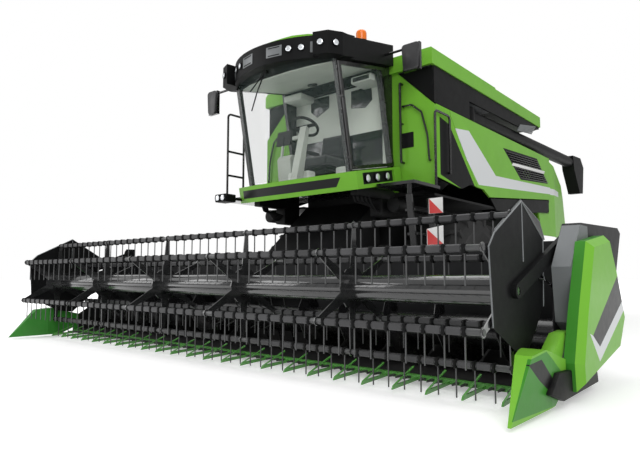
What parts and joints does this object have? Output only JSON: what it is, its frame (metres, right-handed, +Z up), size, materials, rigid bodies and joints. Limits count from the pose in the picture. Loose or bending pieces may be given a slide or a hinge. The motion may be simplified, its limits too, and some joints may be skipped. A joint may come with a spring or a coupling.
{
  "type": "combine harvester",
  "caption": "Self-propelled combine harvester with a wide grain header, tined pickup reel, glazed cab, grain tank, swinging unloading auger and steered rear wheels.",
  "frame": {"origin": "on the ground under the centre of the machine with its header", "axes": "+Z up, +Y towards the rear (the front faces -Y), +X towards the machine's left"},
  "size_m": [7.724, 10.8184, 4.2588],
  "materials": {
    "green_panel": "gloss",
    "green_steel": "gloss",
    "black_panel": "satin",
    "black_steel": "gloss",
    "dark_steel": "satin",
    "tank_steel": "satin",
    "rim_paint": "gloss",
    "tyre": "matt",
    "window": "clear",
    "seat_cloth": "woven",
    "console_plastic": "satin",
    "rod_chrome": "polished",
    "tine_plastic": "satin",
    "knife_steel": "ground",
    "lens_orange": "gloss",
    "cast_engine": "painted"
  },
  "bodies": {
    "machine": {"chassis_frame": "dark_steel", "front_axle": "dark_steel", "rear_axle": "dark_steel", "threshing_housing": "dark_steel", "engine_block": "cast_engine", "front_wall": "green_panel", "side_frame": "black_panel", "upper_cowling": "black_panel", "upper_band": "green_panel", "grain_tank": "tank_steel", "rear_hood": "green_panel", "straw_chopper": "dark_steel", "cab_shell": "black_panel", "cab_glass": "window", "cab_visor": "black_panel", "cab_roof": "green_panel", "cab_apron": "green_panel", "operator_seat": "seat_cloth", "steering_console": "console_plastic", "rails_and_mirrors": "black_steel", "beacons": "lens_orange"},
    "header": {"feederhouse": "dark_steel", "header_frame": "dark_steel", "header_dividers": "green_steel", "header_drive_cover": "green_panel", "cutterbar": "knife_steel", "crop_lifters": "green_steel"},
    "header_auger": {"header_auger": "black_steel"},
    "reel_arms": {"reel_arms": "black_steel"},
    "reel_core": {"reel_core": "black_steel"},
    "reel_barrels": {"reel_barrels": "black_steel"},
    "reel_rods": {"reel_rods": "rod_chrome"},
    "lift_barrels": {"lift_barrels": "black_steel"},
    "lift_rods": {"lift_rods": "rod_chrome"},
    "cab_door": {"cab_door": "black_panel", "cab_door_glass": "window"},
    "unloading_auger": {"unloading_auger": "green_panel"},
    "ladder": {"ladder": "black_steel"},
    "front_wheel_left": {"tyre_front_left": "tyre", "rim_front_left": "rim_paint"},
    "rear_wheel_left": {"tyre_rear_left": "tyre", "rim_rear_left": "rim_paint"},
    "knuckle_left": {"steering_knuckle_left": "dark_steel"},
    "side_panel_left": {"side_panel_left": "green_panel", "side_grille_left": "black_panel"},
    "tank_lid_left": {"tank_lid_left": "green_panel"},
    "front_wheel_right": {"tyre_front_right": "tyre", "rim_front_right": "rim_paint"},
    "rear_wheel_right": {"tyre_rear_right": "tyre", "rim_rear_right": "rim_paint"},
    "knuckle_right": {"steering_knuckle_right": "dark_steel"},
    "side_panel_right": {"side_panel_right": "green_panel", "side_grille_right": "black_panel"},
    "tank_lid_right": {"tank_lid_right": "green_panel"},
    "tine_bar_1": {"tine_bar_1": "tine_plastic"},
    "tine_bar_2": {"tine_bar_2": "tine_plastic"},
    "tine_bar_3": {"tine_bar_3": "tine_plastic"},
    "tine_bar_4": {"tine_bar_4": "tine_plastic"},
    "tine_bar_5": {"tine_bar_5": "tine_plastic"},
    "tine_bar_6": {"tine_bar_6": "tine_plastic"}
  },
  "joints": [
    {"name": "front_wheel_left_spin", "type": "hinge", "parent": "machine", "child": "front_wheel_left", "pos_m": [1.35, -1.25, 0.925], "axis": [1, 0, 0], "continuous": true},
    {"name": "steer_left", "type": "hinge", "parent": "machine", "child": "knuckle_left", "pos_m": [0.985, 2.6, 0.65], "axis": [0, 0, 1], "range_deg": [-40, 40]},
    {"name": "rear_wheel_left_spin", "type": "hinge", "parent": "knuckle_left", "child": "rear_wheel_left", "pos_m": [1.35, 2.6, 0.65], "axis": [1, 0, 0], "continuous": true},
    {"name": "side_panel_left_hinge", "type": "hinge", "parent": "machine", "child": "side_panel_left", "pos_m": [1.585, 0, 3.245], "axis": [0, -1, 0], "range_deg": [0, 80]},
    {"name": "tank_lid_left_hinge", "type": "hinge", "parent": "machine", "child": "tank_lid_left", "pos_m": [1.57, 0, 4.0203], "axis": [0, 1, 0], "range_deg": [0, 80]},
    {"name": "front_wheel_right_spin", "type": "hinge", "parent": "machine", "child": "front_wheel_right", "pos_m": [-1.35, -1.25, 0.925], "axis": [1, 0, 0], "continuous": true},
    {"name": "steer_right", "type": "hinge", "parent": "machine", "child": "knuckle_right", "pos_m": [-0.985, 2.6, 0.65], "axis": [0, 0, 1], "range_deg": [-40, 40]},
    {"name": "rear_wheel_right_spin", "type": "hinge", "parent": "knuckle_right", "child": "rear_wheel_right", "pos_m": [-1.35, 2.6, 0.65], "axis": [1, 0, 0], "continuous": true},
    {"name": "side_panel_right_hinge", "type": "hinge", "parent": "machine", "child": "side_panel_right", "pos_m": [-1.585, 0, 3.245], "axis": [0, 1, 0], "range_deg": [0, 80]},
    {"name": "tank_lid_right_hinge", "type": "hinge", "parent": "machine", "child": "tank_lid_right", "pos_m": [-1.57, 0, 4.0203], "axis": [0, -1, 0], "range_deg": [0, 80]},
    {"name": "header_lift", "type": "hinge", "parent": "machine", "child": "header", "pos_m": [0, -2.15, 1.75], "axis": [-1, 0, 0], "range_deg": [0, 20]},
    {"name": "lift_barrel_turn", "type": "hinge", "parent": "machine", "child": "lift_barrels", "pos_m": [0, -1.41, 0.76], "axis": [-1, 0, 0], "range_deg": [0, 11.28]},
    {"name": "lift_rod_slide", "type": "slide", "parent": "lift_barrels", "child": "lift_rods", "axis": [0, -0.997, -0.0777], "range_m": [0, 0.3417]},
    {"name": "header_auger_spin", "type": "hinge", "parent": "header", "child": "header_auger", "pos_m": [0, -3.9, 0.43], "axis": [1, 0, 0], "continuous": true},
    {"name": "reel_lift", "type": "hinge", "parent": "header", "child": "reel_arms", "pos_m": [0, -3.56, 1.29], "axis": [-1, 0, 0], "range_deg": [0, 30]},
    {"name": "reel_barrel_turn", "type": "hinge", "parent": "header", "child": "reel_barrels", "pos_m": [0, -3.66, 0.76], "axis": [-1, 0, 0], "range_deg": [0, 23.89]},
    {"name": "reel_rod_slide", "type": "slide", "parent": "reel_barrels", "child": "reel_rods", "axis": [0, -0.963, 0.2693], "range_m": [0, 0.2696]},
    {"name": "reel_spin", "type": "hinge", "parent": "reel_arms", "child": "reel_core", "pos_m": [0, -4.81, 0.836], "axis": [1, 0, 0], "continuous": true},
    {"name": "tine_bar_1_turn", "type": "hinge", "parent": "reel_core", "child": "tine_bar_1", "pos_m": [0, -4.31729, 1.09578], "axis": [1, 0, 0], "continuous": true},
    {"name": "tine_bar_2_turn", "type": "hinge", "parent": "reel_core", "child": "tine_bar_2", "pos_m": [0, -4.78862, 1.39259], "axis": [1, 0, 0], "continuous": true},
    {"name": "tine_bar_3_turn", "type": "hinge", "parent": "reel_core", "child": "tine_bar_3", "pos_m": [0, -5.28133, 1.13281], "axis": [1, 0, 0], "continuous": true},
    {"name": "tine_bar_4_turn", "type": "hinge", "parent": "reel_core", "child": "tine_bar_4", "pos_m": [0, -5.30271, 0.57622], "axis": [1, 0, 0], "continuous": true},
    {"name": "tine_bar_5_turn", "type": "hinge", "parent": "reel_core", "child": "tine_bar_5", "pos_m": [0, -4.83138, 0.27941], "axis": [1, 0, 0], "continuous": true},
    {"name": "tine_bar_6_turn", "type": "hinge", "parent": "reel_core", "child": "tine_bar_6", "pos_m": [0, -4.33867, 0.53919], "axis": [1, 0, 0], "continuous": true},
    {"name": "cab_door_hinge", "type": "hinge", "parent": "machine", "child": "cab_door", "pos_m": [0.9603, -3.24019, 2.27196], "axis": [0, 0.196, -0.9806], "range_deg": [0, 80]},
    {"name": "unloading_auger_swing", "type": "hinge", "parent": "machine", "child": "unloading_auger", "pos_m": [1.42, -0.9, 3.4], "axis": [0, 0, -1], "range_deg": [0, 100]},
    {"name": "ladder_swing", "type": "hinge", "parent": "machine", "child": "ladder", "pos_m": [1.56, -2.86, 1.9], "axis": [0, 0, -1], "range_deg": [0, 90]}
  ],
  "couplings": [
    {"joint": "steer_right", "follows": "steer_left", "ratio": 1},
    {"joint": "lift_barrel_turn", "follows": "header_lift", "ratio": 0.55887},
    {"joint": "lift_rod_slide", "follows": "header_lift", "m_per_rad": 0.97311},
    {"joint": "reel_barrel_turn", "follows": "reel_lift", "ratio": 0.79302},
    {"joint": "reel_rod_slide", "follows": "reel_lift", "m_per_rad": 0.51111},
    {"joint": "tine_bar_1_turn", "follows": "reel_spin", "ratio": -1},
    {"joint": "tine_bar_2_turn", "follows": "reel_spin", "ratio": -1},
    {"joint": "tine_bar_3_turn", "follows": "reel_spin", "ratio": -1},
    {"joint": "tine_bar_4_turn", "follows": "reel_spin", "ratio": -1},
    {"joint": "tine_bar_5_turn", "follows": "reel_spin", "ratio": -1},
    {"joint": "tine_bar_6_turn", "follows": "reel_spin", "ratio": -1}
  ]
}
